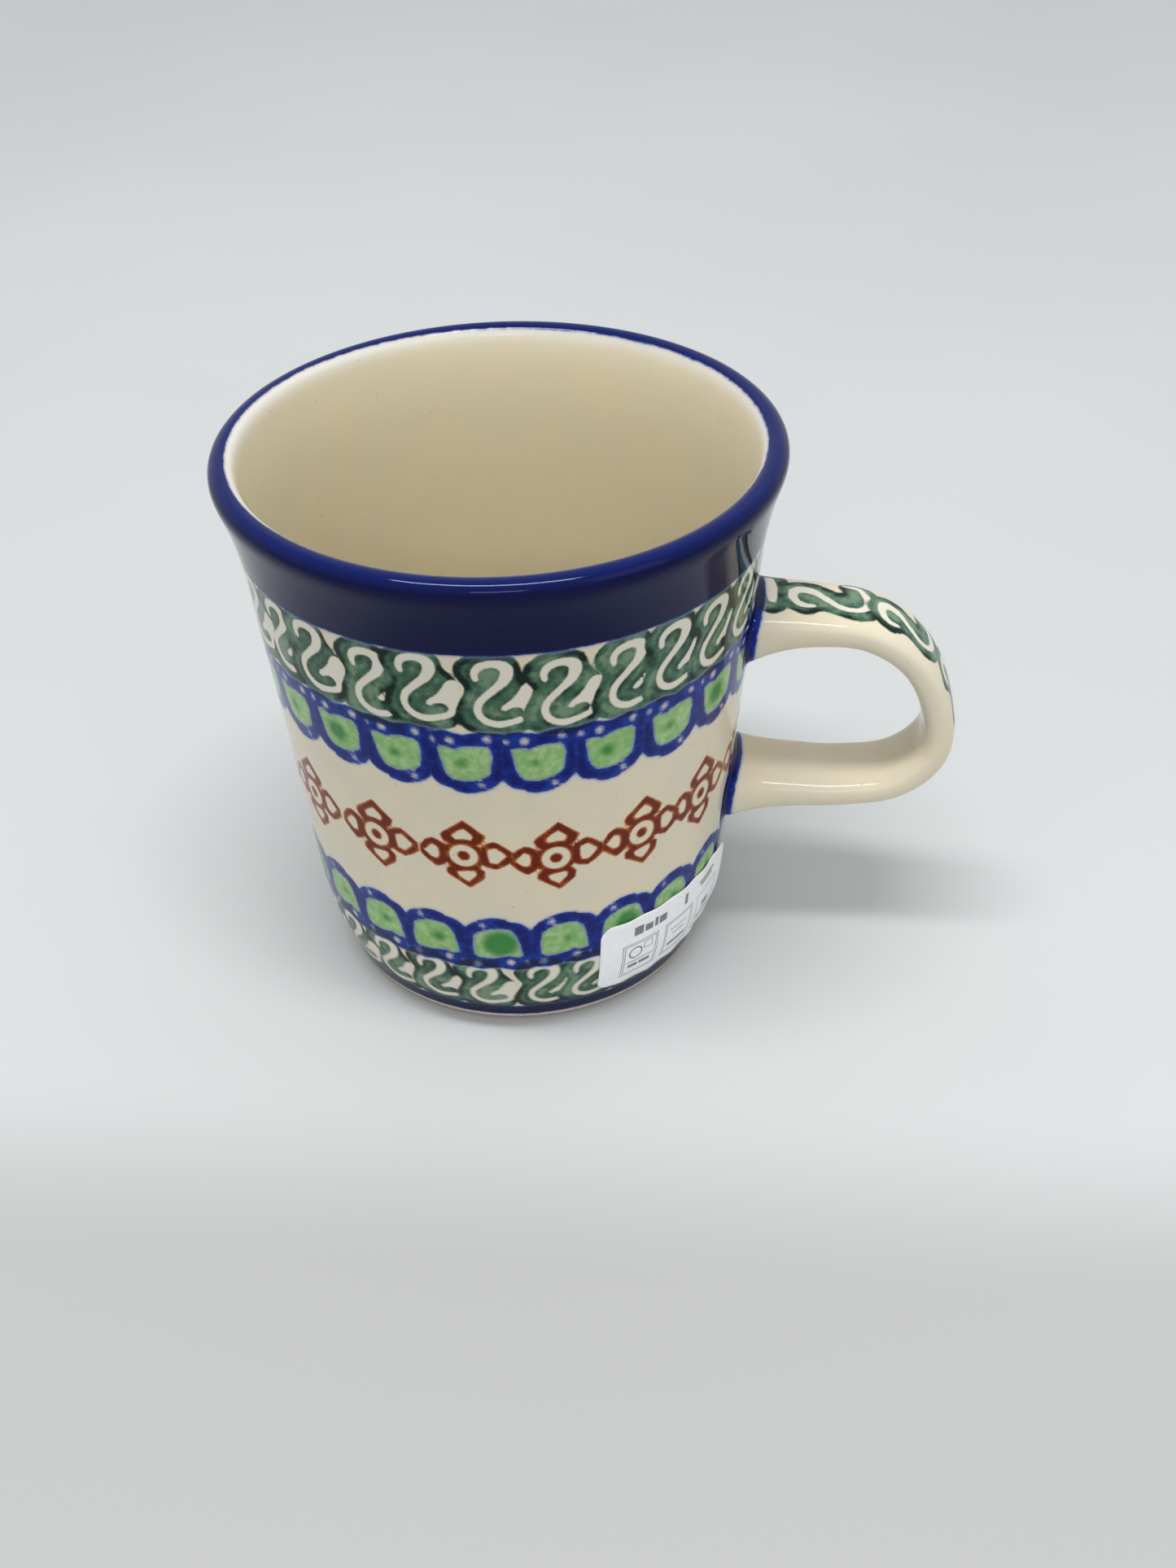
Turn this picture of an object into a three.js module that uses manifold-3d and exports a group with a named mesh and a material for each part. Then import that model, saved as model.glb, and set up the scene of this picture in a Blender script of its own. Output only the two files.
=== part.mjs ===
// Stoneware mug: a thrown body, a strap handle luted on with two pads of slip, and a
// paper care label stuck low on the wall.
// Millimetres, +Z up. The foot ring stands on z = 0 and the handle points along +X.
// Every piece is drawn about the body's own axis. The finished group is then moved
// along X, so that the origin lies under the middle of the whole mug.

import * as THREE from "three";
import { mergeVertices } from "three/addons/utils/BufferGeometryUtils.js";
import Module from "manifold-3d";

const manifold = await Module();
manifold.setup();

// ---- body ----

const HEIGHT = 87.9;
const RIM_RADIUS = 41.9;
const LIP_THICKNESS = 4.2;
const FOOT_CHAMFER_HEIGHT = 0.9;
const FOOT_OUTER_RADIUS = 28.9;
const FOOT_INNER_RADIUS = 25.6;
const RECESS_RADIUS = 24.4;
const RECESS_DEPTH = 1.6;
const FLOOR_THICKNESS = 4.8;
const FLOOR_CORNER_RADIUS = 8;
const AROUND = 72;

// Outer face of the wall from the foot up to the lip: [radius, height].
const OUTER_WALL = [
  [29.7, FOOT_CHAMFER_HEIGHT],
  [31.0, 5.2],
  [33.0, 12.2],
  [34.4, 26.2],
  [35.9, 43.6],
  [37.6, 61.0],
  [38.4, 69.8],
  [39.2, 75.9],
  [40.4, 81.2],
  [RIM_RADIUS, HEIGHT - LIP_THICKNESS / 2],
];

// Inner face from the lip down to where the floor's corner starts.
const INNER_WALL = [
  [RIM_RADIUS - LIP_THICKNESS, HEIGHT - LIP_THICKNESS / 2],
  [35.8, 79.4],
  [34.4, 70.0],
  [33.3, 60.0],
  [31.6, 43.6],
  [30.1, 26.0],
  [29.2, RECESS_DEPTH + FLOOR_THICKNESS + FLOOR_CORNER_RADIUS],
];

const OUTER_WALL_STEPS = 13;
const INNER_WALL_STEPS = 9;
const ROUND_STEPS = 5;

// ---- handle ----

const HANDLE_WIDTH = 13.3;
const HANDLE_THICKNESS = 5.1;
const SECTION_POWER = 2.9;
const SECTION_POINTS = 24;
const HANDLE_STEPS = 36;

// Centre line of the strap from inside the upper joint round to inside the lower one:
// [distance from the body's axis, height].
const HANDLE_LINE = [
  [33.0, 57.6],
  [38.0, 58.0],
  [46.2, 58.7],
  [54.7, 57.9],
  [61.8, 53.1],
  [65.8, 45.0],
  [66.1, 36.6],
  [60.5, 30.6],
  [51.9, 28.9],
  [43.1, 28.8],
  [32.0, 28.6],
];
const UPPER_JOINT_HEIGHT = 57.8;
const LOWER_JOINT_HEIGHT = 28.7;

// The strap swells where it meets the wall, and the swelling dies away along it.
const FLARE_HEIGHT_GAIN = 0.9;
const FLARE_WIDTH_GAIN = 0.23;
const FLARE_LENGTH = 6;

// ---- slip joints and label ----

const GAP = 0.3;
const SLIP_THICKNESS = 0.8;
const SLIP_MARGIN = 0.9;
const SLIP_REACH = 12;

const LABEL_LENGTH = 30;
const LABEL_HEIGHT = 14.8;
const LABEL_BOTTOM = 5.4;
const LABEL_CORNER_RADIUS = 2.2;
const LABEL_THICKNESS = 0.3;
const LABEL_WALL_RADIUS = 33.3;
const LABEL_FIRST_EDGE_DEG = -62.5;

// ---- materials ----

function glazedStoneware(color) {
  return new THREE.MeshStandardMaterial({ color, roughness: 0.14, metalness: 0 });
}

const creamGlaze = glazedStoneware(0xd3c9b0);
const creamHandleGlaze = glazedStoneware(0xd8cfba);
const cobaltGlaze = glazedStoneware(0x101f63);
const labelPaper = new THREE.MeshStandardMaterial({ color: 0xf0f1f3, roughness: 0.5, metalness: 0 });

// ---- outlines ----

function curveThrough(stations, steps) {
  const points = stations.map(([radius, height]) => new THREE.Vector2(radius, height));
  return new THREE.SplineCurve(points).getSpacedPoints(steps);
}

function arc(centreRadius, centreHeight, radius, fromDeg, toDeg) {
  const points = [];
  for (let step = 1; step < ROUND_STEPS; step += 1) {
    const angle = THREE.MathUtils.degToRad(fromDeg + ((toDeg - fromDeg) * step) / ROUND_STEPS);
    points.push(
      new THREE.Vector2(
        centreRadius + radius * Math.cos(angle),
        centreHeight + radius * Math.sin(angle),
      ),
    );
  }
  return points;
}

const outerWall = curveThrough(OUTER_WALL, OUTER_WALL_STEPS);
const innerWall = curveThrough(INNER_WALL, INNER_WALL_STEPS);

function bodyOutline() {
  const lipRadius = LIP_THICKNESS / 2;
  const floorHeight = RECESS_DEPTH + FLOOR_THICKNESS;
  const cornerCentreRadius = INNER_WALL.at(-1)[0] - FLOOR_CORNER_RADIUS;
  return [
    new THREE.Vector2(0, RECESS_DEPTH),
    new THREE.Vector2(RECESS_RADIUS, RECESS_DEPTH),
    new THREE.Vector2(FOOT_INNER_RADIUS, 0),
    new THREE.Vector2(FOOT_OUTER_RADIUS, 0),
    ...outerWall,
    ...arc(RIM_RADIUS - lipRadius, HEIGHT - lipRadius, lipRadius, 0, 90),
    new THREE.Vector2(RIM_RADIUS - lipRadius, HEIGHT),
    ...arc(RIM_RADIUS - lipRadius, HEIGHT - lipRadius, lipRadius, 90, 180),
    ...innerWall,
    ...arc(cornerCentreRadius, floorHeight + FLOOR_CORNER_RADIUS, FLOOR_CORNER_RADIUS, 0, -90),
    new THREE.Vector2(cornerCentreRadius, floorHeight),
    new THREE.Vector2(0, floorHeight),
  ];
}

function turned(outline) {
  const geometry = new THREE.LatheGeometry(outline, AROUND);
  geometry.rotateX(Math.PI / 2);
  return geometry;
}

// A solid plug whose side lies the given distance outside the mug's wall.
function wallPlug(clearance) {
  const side = outerWall.map((point) => new THREE.Vector2(point.x + clearance, point.y));
  return turned([new THREE.Vector2(0, side[0].y), ...side, new THREE.Vector2(0, side.at(-1).y)]);
}

// ---- solids: only joined and cut ----

function toSolid(geometry) {
  const shell = geometry.clone();
  shell.deleteAttribute("normal");
  shell.deleteAttribute("uv");
  const merged = mergeVertices(shell, 1e-4);
  return new manifold.Manifold(
    new manifold.Mesh({
      numProp: 3,
      vertProperties: new Float32Array(merged.attributes.position.array),
      triVerts: new Uint32Array(merged.index.array),
    }),
  );
}

function toGeometry(solid) {
  const mesh = solid.getMesh();
  const geometry = new THREE.BufferGeometry();
  geometry.setAttribute("position", new THREE.BufferAttribute(mesh.vertProperties, 3));
  geometry.setIndex(new THREE.BufferAttribute(mesh.triVerts, 1));
  geometry.computeVertexNormals();
  return geometry;
}

// ---- handle ----

function strapSection(margin) {
  const halfWidth = HANDLE_WIDTH / 2 + margin;
  const halfThickness = HANDLE_THICKNESS / 2 + margin;
  const points = [];
  for (let step = 0; step < SECTION_POINTS; step += 1) {
    const angle = (2 * Math.PI * step) / SECTION_POINTS;
    const across = Math.cos(angle);
    const through = Math.sin(angle);
    points.push(
      new THREE.Vector2(
        halfWidth * Math.sign(across) * Math.abs(across) ** (2 / SECTION_POWER),
        halfThickness * Math.sign(through) * Math.abs(through) ** (2 / SECTION_POWER),
      ),
    );
  }
  return new THREE.Shape(points);
}

function wallRadiusAt(height) {
  const above = outerWall.findIndex((point) => point.y > height);
  const lower = outerWall[above - 1];
  const upper = outerWall[above];
  return THREE.MathUtils.mapLinear(height, lower.y, upper.y, lower.x, upper.x);
}

// The strap along its centre line, swollen towards both ends and still running into the wall.
function flaredStrap(margin) {
  const line = new THREE.CatmullRomCurve3(
    HANDLE_LINE.map(([reach, height]) => new THREE.Vector3(reach, 0, height)),
  );
  const geometry = new THREE.ExtrudeGeometry(strapSection(margin), {
    steps: HANDLE_STEPS,
    extrudePath: line,
  });
  const middleHeight = (UPPER_JOINT_HEIGHT + LOWER_JOINT_HEIGHT) / 2;
  const position = geometry.attributes.position;
  for (let index = 0; index < position.count; index += 1) {
    const height = position.getZ(index);
    const jointHeight = height > middleHeight ? UPPER_JOINT_HEIGHT : LOWER_JOINT_HEIGHT;
    const fromWall = Math.max(0, position.getX(index) - wallRadiusAt(jointHeight));
    const fade = Math.exp(-fromWall / FLARE_LENGTH);
    position.setY(index, position.getY(index) * (1 + FLARE_WIDTH_GAIN * fade));
    position.setZ(index, jointHeight + (height - jointHeight) * (1 + FLARE_HEIGHT_GAIN * fade));
  }
  return toSolid(geometry);
}

function handleGeometry() {
  const wallAndSlip = toSolid(wallPlug(2 * GAP + SLIP_THICKNESS));
  return toGeometry(flaredStrap(0).subtract(wallAndSlip));
}

// The slip squeezed between the wall and one end of the strap, a little wider than the strap.
function slipGeometry(jointHeight) {
  const layer = toSolid(wallPlug(GAP + SLIP_THICKNESS)).subtract(toSolid(wallPlug(GAP)));
  const around = new THREE.BoxGeometry(SLIP_REACH * 2, SLIP_REACH * 2, SLIP_REACH * 2);
  around.translate(wallRadiusAt(jointHeight), 0, jointHeight);
  return toGeometry(flaredStrap(SLIP_MARGIN).intersect(layer).intersect(toSolid(around)));
}

// ---- label ----

// A rounded rectangle wrapped round the wall: the length runs round it, the height up it.
function labelGeometry() {
  const spanAngle = LABEL_LENGTH / LABEL_WALL_RADIUS;
  const halfChord = LABEL_WALL_RADIUS * Math.sin(spanAngle / 2);
  const middleAngle = THREE.MathUtils.degToRad(LABEL_FIRST_EDGE_DEG) + spanAngle / 2;
  const corner = LABEL_CORNER_RADIUS;
  const outline = new THREE.Shape();
  outline.absarc(halfChord - corner, LABEL_HEIGHT - corner, corner, 0, Math.PI / 2);
  outline.absarc(corner - halfChord, LABEL_HEIGHT - corner, corner, Math.PI / 2, Math.PI);
  outline.absarc(corner - halfChord, corner, corner, Math.PI, 1.5 * Math.PI);
  outline.absarc(halfChord - corner, corner, corner, 1.5 * Math.PI, 2 * Math.PI);
  const punch = new THREE.ExtrudeGeometry(outline, {
    depth: RIM_RADIUS,
    bevelEnabled: false,
    curveSegments: ROUND_STEPS,
  });
  punch.rotateX(Math.PI / 2);
  punch.rotateZ(Math.PI / 2 + middleAngle);
  punch.translate(0, 0, LABEL_BOTTOM);
  const sheet = toSolid(wallPlug(GAP + LABEL_THICKNESS)).subtract(toSolid(wallPlug(GAP)));
  return toGeometry(toSolid(punch).intersect(sheet));
}

// ---- assembly ----

function piece(name, geometry, material) {
  const mesh = new THREE.Mesh(geometry, material);
  mesh.name = name;
  return mesh;
}

const mug = new THREE.Group();
mug.add(
  piece("mug_body", turned(bodyOutline()), creamGlaze),
  piece("handle", handleGeometry(), creamHandleGlaze),
  piece("upper_slip_joint", slipGeometry(UPPER_JOINT_HEIGHT), cobaltGlaze),
  piece("lower_slip_joint", slipGeometry(LOWER_JOINT_HEIGHT), cobaltGlaze),
  piece("care_label", labelGeometry(), labelPaper),
);

const bounds = new THREE.Box3().setFromObject(mug);
mug.position.x = -(bounds.min.x + bounds.max.x) / 2;

export default mug;
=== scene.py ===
"""Stoneware mug: glazed body with stamped bands, luted strap handle and a paper care label."""

import math

import bpy
import numpy as np
from bpy.props import FloatProperty, FloatVectorProperty, PointerProperty
from bpy.types import Operator, Panel, PropertyGroup
from mathutils import Matrix, Vector


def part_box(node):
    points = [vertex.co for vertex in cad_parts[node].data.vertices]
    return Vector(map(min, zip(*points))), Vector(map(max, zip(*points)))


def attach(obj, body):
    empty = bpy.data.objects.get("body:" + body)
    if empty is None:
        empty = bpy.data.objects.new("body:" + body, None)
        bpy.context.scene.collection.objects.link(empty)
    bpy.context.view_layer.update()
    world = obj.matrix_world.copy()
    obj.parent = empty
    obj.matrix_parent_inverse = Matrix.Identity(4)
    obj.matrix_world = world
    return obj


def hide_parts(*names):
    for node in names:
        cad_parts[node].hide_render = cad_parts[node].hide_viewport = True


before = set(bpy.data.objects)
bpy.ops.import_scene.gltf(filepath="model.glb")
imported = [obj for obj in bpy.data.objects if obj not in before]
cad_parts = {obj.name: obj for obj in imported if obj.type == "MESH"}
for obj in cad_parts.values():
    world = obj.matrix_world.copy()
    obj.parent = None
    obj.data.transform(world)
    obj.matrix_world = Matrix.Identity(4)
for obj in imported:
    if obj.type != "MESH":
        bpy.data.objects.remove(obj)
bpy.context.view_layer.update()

bl_info = {
    "name": "Stamped Stoneware Mug",
    "version": (1, 0, 0),
    "blender": (4, 5, 0),
    "location": "View3D > Sidebar > Mug",
    "description": "Models and glazes a stamped stoneware mug round its CAD frame",
    "category": "Add Mesh",
}

MM = 0.001

# Distances to stamps are kept up to this many millimetres.
FAR = 9.0

# ---- the body's axis, taken from the frame ----

BODY_LOW, BODY_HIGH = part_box("mug_body")
AXIS_X = (BODY_LOW.x + BODY_HIGH.x) / 2

# ---- shapes, in millimetres from the body's axis and the table ----

LIP_RADIUS = 2.1

# Outer face of the wall: (radius, height).
OUTER_WALL = [
    (29.7, 0.9),
    (31.0, 5.2),
    (33.0, 12.2),
    (34.4, 26.2),
    (35.9, 43.6),
    (37.6, 61.0),
    (38.4, 69.8),
    (39.2, 75.9),
    (40.4, 81.2),
    (41.9, 85.8),
]

# Inner face of the wall, from the lip down to the floor's rounded corner.
INNER_WALL = [
    (37.7, 85.8),
    (35.8, 79.4),
    (34.4, 70.0),
    (33.3, 60.0),
    (31.6, 43.6),
    (30.1, 26.0),
    (29.2, 14.4),
]

# Recess under the floor and the foot ring round it, from the axis outwards.
FOOT = [
    (0.0, 1.6),
    (9.0, 1.6),
    (18.0, 1.6),
    (23.8, 1.6),
    (24.7, 1.3),
    (25.3, 0.4),
    (25.9, 0.03),
    (26.6, 0.0),
    (27.4, 0.0),
    (28.2, 0.0),
    (29.0, 0.12),
]

# Floor inside the cup: its height, the radius of its corner and where its flat part is divided.
FLOOR_HEIGHT = 6.4
FLOOR_CORNER = 8.0
FLOOR_STEPS = [14.0, 7.0, 0.0]

# How finely curves and the turned body are divided.
CURVE_SUBSTEPS = 24
WALL_SAMPLES = 200
WALL_STEPS = 42
INNER_STEPS = 14
SPIN_STEPS = 124
REFINED_SAMPLES = 4000
STROKE_POINTS = 48
OUTLINE_POINTS = 60
SMALL_OUTLINE_POINTS = 40
EYE_POINTS = 8

# The outer face is what lies within this depth of the wall's curve and above the foot ring.
SKIN_DEPTH = 1.0
STAMPED_FROM = 0.4
REFINED_FROM = 0.6
STAMPED_TO = 78.0
REFINED_MARGIN = 2.0
LIP_FROM = 84.0
SEAM_WIDTH = 0.01
MERGE_DISTANCE = 0.001

# The strap: its section, squarer as the power grows, its divisions and how its ends swell.
HANDLE_WIDTH = 13.3
HANDLE_THICKNESS = 5.1
SECTION_POWER = 2.9
SECTION_POINTS = 32
HANDLE_STATIONS = 56
STRAP_SAMPLES = 400
STRAP_SAMPLES_BY_WALL = 60
FLARE_HEIGHT_GAIN = 0.9
FLARE_WIDTH_GAIN = 0.23
FLARE_LENGTH = 6.0

# Centre line of the strap, from inside the upper joint round to inside the lower one.
HANDLE_LINE = [
    (34.9, 57.75),
    (38.0, 58.0),
    (46.2, 58.7),
    (54.7, 57.9),
    (61.8, 53.1),
    (65.8, 45.0),
    (66.1, 36.6),
    (60.5, 30.6),
    (51.9, 28.9),
    (43.1, 28.8),
    (32.0, 28.6),
]

# The joints: heights of their middles, corner radius seen square on, and half the space they take.
UPPER_JOINT_HEIGHT = 57.8
LOWER_JOINT_HEIGHT = 28.7
JOINT_CORNER = 3.4
JOINT_REACH = 16.0

# ---- stamps, drawn in millimetres round each stamp's own middle ----

STAMP_REACH = 9.0
FLOWER_REACH = 10.0

# Running scroll: the line left bare in the glaze, as (across, up, half width).
SCROLL_LINE = [
    (-2.50, 2.00, 0.42),
    (-2.62, 3.05, 0.52),
    (-2.10, 4.02, 0.60),
    (-1.09, 4.55, 0.62),
    (0.05, 4.70, 0.64),
    (1.18, 4.38, 0.80),
    (1.72, 3.65, 0.90),
    (1.62, 2.50, 0.86),
    (1.00, 1.35, 0.72),
    (0.00, 0.35, 0.60),
    (-1.12, -0.75, 0.55),
    (-2.12, -1.89, 0.54),
    (-2.52, -3.14, 0.52),
    (-2.32, -4.27, 0.52),
    (-1.66, -5.14, 0.53),
    (-0.64, -5.68, 0.55),
    (0.43, -5.84, 0.58),
    (1.75, -5.57, 0.52),
    (3.11, -5.14, 0.50),
    (4.02, -4.61, 0.52),
    (4.30, -3.70, 0.48),
    (4.45, -2.60, 0.40),
]

# Outline of the same scroll's inked sponge, and the star it leaves bare beside the tail.
SCROLL_BODY = [
    (-4.30, 5.60),
    (-5.25, 4.50),
    (-5.50, 3.20),
    (-4.95, 1.80),
    (-4.15, 0.60),
    (-4.45, -0.80),
    (-5.10, -2.20),
    (-5.50, -3.80),
    (-5.40, -5.40),
    (-4.30, -6.80),
    (-2.60, -7.60),
    (-0.20, -7.90),
    (2.20, -7.70),
    (4.40, -6.90),
    (5.30, -5.40),
    (5.45, -3.80),
    (5.30, -1.80),
    (5.45, 0.20),
    (5.00, 1.80),
    (3.90, 3.00),
    (3.45, 4.20),
    (3.05, 5.40),
    (2.00, 6.40),
    (-0.50, 6.75),
    (-3.00, 6.50),
]
SCROLL_STAR = [
    (4.70, 1.30),
    (6.40, 0.40),
    (5.90, -1.40),
    (5.20, -2.90),
    (4.30, -4.00),
    (3.70, -3.40),
    (3.10, -2.95),
    (2.10, -3.00),
    (1.25, -3.50),
    (0.55, -3.15),
    (1.15, -2.40),
    (2.15, -1.55),
    (3.00, -0.50),
    (3.60, 0.60),
]

# Scallop cup: outside of the painted ring, the green filling and the sponge's bare dots.
CUP_RING = [
    (-5.50, 6.00),
    (-5.50, -1.90),
    (-4.70, -3.20),
    (-3.90, -3.95),
    (-2.90, -4.30),
    (-2.05, -4.45),
    (-1.75, -4.95),
    (-0.30, -5.22),
    (0.95, -5.12),
    (2.50, -4.66),
    (3.90, -3.80),
    (4.80, -2.75),
    (5.50, -1.50),
    (5.50, 6.00),
    (2.60, 6.30),
    (0.00, 5.75),
    (-2.60, 6.35),
]
CUP_FILLING = [
    (-3.80, 3.10),
    (-3.40, 3.35),
    (-2.50, 3.40),
    (-1.25, 2.95),
    (-0.40, 3.40),
    (1.00, 3.70),
    (3.10, 3.60),
    (3.65, 3.10),
    (3.80, 1.75),
    (3.60, -0.20),
    (3.45, -1.30),
    (2.50, -2.10),
    (0.95, -2.75),
    (-0.40, -2.92),
    (-1.90, -2.72),
    (-2.75, -1.85),
    (-3.25, -0.45),
    (-3.50, 1.10),
]
CUP_DOTS = [(-1.90, 4.55, 0.56), (3.30, 4.95, 0.50), (-4.50, 4.60, 0.40), (2.05, -3.55, 0.38)]
CUP_DOT_STRENGTH = 0.45
CUP_TOUCH_MIDDLE = (-0.5, 0.4)

# Chain flower: four hollow petals round a ring; the side petals reach the next flowers.
FLOWER_PETALS = [
    [
        *[(0.40, 7.15), (2.10, 5.55), (3.65, 4.10), (2.95, 2.70), (1.60, 1.80)],
        *[(-1.60, 1.80), (-2.95, 2.60), (-3.30, 3.70), (-2.90, 4.40), (-1.20, 5.75)],
    ],
    [
        *[(0.50, -6.55), (-1.20, -5.20), (-2.95, -3.95), (-2.85, -2.80), (-1.50, -1.80)],
        *[(1.50, -1.80), (3.05, -2.90), (2.85, -4.50), (1.70, -5.50)],
    ],
    [
        *[(2.40, 1.90), (3.60, 2.75), (4.60, 3.15), (5.50, 2.60), (7.30, 0.95)],
        *[(7.35, -0.55), (6.20, -1.70), (4.70, -2.60), (3.40, -2.20), (2.40, -1.60)],
    ],
    [
        *[(-2.40, 1.90), (-3.60, 2.60), (-4.50, 3.00), (-5.70, 2.35), (-6.60, 0.95)],
        *[(-6.75, -0.60), (-5.70, -1.80), (-4.30, -2.95), (-3.30, -2.40), (-2.40, -1.60)],
    ],
]
FLOWER_HOLES = [
    [
        *[(0.30, 5.35), (1.10, 4.65), (1.68, 3.90), (1.25, 3.25)],
        *[(0.20, 3.40), (-1.10, 3.20), (-1.50, 3.85), (-0.70, 4.65)],
    ],
    [(-1.20, -3.40), (0.20, -3.12), (1.55, -2.95), (1.60, -3.85), (0.35, -5.20), (-0.95, -4.20)],
    [(3.65, 1.40), (4.70, 1.80), (6.35, 0.30), (4.85, -1.30), (3.80, -1.10), (3.60, 0.20)],
    [(-4.65, 1.55), (-3.85, 1.05), (-3.76, -0.05), (-3.95, -1.03), (-4.75, -1.10), (-6.00, 0.10)],
]
FLOWER_DISC = 3.15
FLOWER_RING = (1.00, 2.12)

# The scroll pressed along the handle has a narrower sponge without the star.
HANDLE_SCROLL_BODY = [
    (-4.20, 4.60),
    (-4.70, 2.60),
    (-3.60, 0.60),
    (-4.30, -1.60),
    (-4.80, -3.80),
    (-4.30, -5.80),
    (-2.60, -7.20),
    (0.40, -7.80),
    (3.40, -7.20),
    (5.40, -5.60),
    (5.60, -3.40),
    (4.30, -1.90),
    (1.80, -2.30),
    (2.40, -1.00),
    (3.60, 0.60),
    (4.30, 2.60),
    (4.00, 4.60),
    (2.60, 6.20),
    (0.20, 6.90),
    (-2.60, 6.30),
]

# ---- where the stamps were set, going round from the left: (degrees, height of the middle) ----

UPPER_SCROLLS = [
    (-137.9, 70.0),
    (-127.0, 70.0),
    (-111.7, 69.3),
    (-100.8, 70.1),
    (-85.4, 69.6),
    (-71.7, 69.0),
    (-57.3, 69.4),
    (-46.1, 69.6),
    (-33.7, 69.6),
]
UPPER_SCROLL_COUNT = 28
LOWER_SCROLLS = [(-123.6, 10.4), (-108.6, 10.6), (-94.2, 10.4), (-77.6, 10.6), (-65.2, 10.5)]
LOWER_SCROLL_COUNT = 25
LOWER_SCROLL_SCALE = 0.88
UPPER_CUPS = [
    (-123.6, 56.6),
    (-108.3, 56.5),
    (-92.9, 56.1),
    (-77.1, 56.0),
    (-61.1, 56.0),
    (-45.1, 56.2),
]
UPPER_CUP_COUNT = 23
LOWER_CUPS = [
    (-122.1, 20.8),
    (-106.1, 20.8),
    (-89.6, 20.6),
    (-72.1, 20.9),
    (-55.6, 20.8),
    (-39.8, 20.8),
]
LOWER_CUP_COUNT = 22
FLOWERS = [
    (-142.2, 38.9),
    (-118.6, 38.7),
    (-95.7, 38.5),
    (-73.9, 37.6),
    (-51.8, 37.9),
    (-31.5, 38.4),
]
FLOWER_COUNT = 16

# Size of the dark green touch in each cup, in millimetres; the list is gone round in turn.
UPPER_TOUCHES = [1.9, 0.9, 1.0, 0.8, 1.2, 0.9]
LOWER_TOUCHES = [1.0, 1.2, 2.9, 0.8, 2.3, 1.0]

# Scrolls on the handle: (distance along the strap, stretch of the strap's face there).
HANDLE_SCROLLS = [(10.9, 1.0), (22.4, 1.18), (34.2, 1.22)]

# The oval at the handle's upper end, as (along, across): its bare stroke and its green outline.
HANDLE_EYE = [(3.3, -2.0, 0.60), (3.1, 1.2, 1.00), (2.7, 4.2, 0.70)]
HANDLE_EYE_BODY = [
    (0.8, 5.4),
    (0.7, -3.0),
    (2.2, -5.0),
    (4.6, -4.6),
    (5.9, -2.0),
    (5.6, 4.0),
    (4.0, 6.3),
]

# Brushed bands: the rim's lower edge, the foot band's edges and the glaze's lower edge.
RIM_BAND_HEIGHT = 75.6
FOOT_BAND = (1.75, 4.15)
GLAZE_LINE_HEIGHT = 1.35

# How far past the lip's crest the rim's cobalt was brushed: on average, and its waves round.
PAST_CREST = 1.15
PAST_CREST_WAVES = (0.30, -0.20)

# Cobalt line round the strap's ends: how far out it runs, its half width and the strap's share.
JOINT_BAND = (0.45, 0.75)
PAINTED_COLLAR = 0.35


# ---- small tools ----


def linear(hex_colour):
    """Linear RGB of an sRGB hex colour such as "#c0ffee"."""
    shares = [int(hex_colour[i : i + 2], 16) / 255 for i in (1, 3, 5)]
    return [s / 12.92 if s <= 0.04045 else ((s + 0.055) / 1.055) ** 2.4 for s in shares]


def per_mm(size):
    """Noise scale, per metre, of a pattern whose features are this many millimetres wide."""
    return 1000 / size


def smooth_line(stations, count, closed=False):
    """The same rows of numbers, run through by a smooth curve and set out evenly."""
    rows = np.array(stations, float)
    if closed:
        rows = np.vstack([rows[-1], rows, rows[0], rows[1]])
    else:
        rows = np.vstack([2 * rows[0] - rows[1], rows, 2 * rows[-1] - rows[-2]])
    share = np.linspace(0, 1, CURVE_SUBSTEPS, endpoint=False)[:, None]
    fine = []
    for a, b, c, d in zip(rows, rows[1:], rows[2:], rows[3:]):
        fine.append(
            b
            + 0.5 * share * (c - a)
            + share**2 * (a - 2.5 * b + 2 * c - 0.5 * d)
            + share**3 * (1.5 * (b - c) + 0.5 * (d - a))
        )
    fine = np.vstack(fine + [rows[-2][None, :]])
    length = np.r_[0, np.cumsum(np.linalg.norm(np.diff(fine[:, :2], axis=0), axis=1))]
    places = np.linspace(0, length[-1], count, endpoint=not closed)
    return np.column_stack([np.interp(places, length, column) for column in fine.T])


def outer_radius(height):
    """Radius of the wall's outer face at a height, in millimetres."""
    line = smooth_line(OUTER_WALL, WALL_SAMPLES)
    return np.interp(height, line[:, 1], line[:, 0])


def only(piece):
    """Leave just this object selected and active."""
    bpy.ops.object.select_all(action="DESELECT")
    piece.select_set(True)
    bpy.context.view_layer.objects.active = piece


def settle(piece, node):
    """Fix the piece's place in its mesh, smooth it and hang it on the frame."""
    only(piece)
    bpy.ops.object.transform_apply(location=True, rotation=True, scale=True)
    bpy.ops.object.shade_smooth()
    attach(piece, "root")
    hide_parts(node)


def apply_modifier(piece, kind, **settings):
    """Add a modifier with these settings and apply it."""
    only(piece)
    bpy.ops.object.modifier_add(type=kind)
    modifier = piece.modifiers[-1]
    for name, value in settings.items():
        setattr(modifier, name, value)
    bpy.ops.object.modifier_apply(modifier=modifier.name)


def coordinates(piece):
    """The piece's vertices as rows of x, y, z in millimetres from the body's axis."""
    rows = np.empty(len(piece.data.vertices) * 3, np.float32)
    piece.data.vertices.foreach_get("co", rows)
    rows = rows.reshape(-1, 3).astype(float)
    rows[:, 0] -= AXIS_X
    return rows / MM


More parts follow.
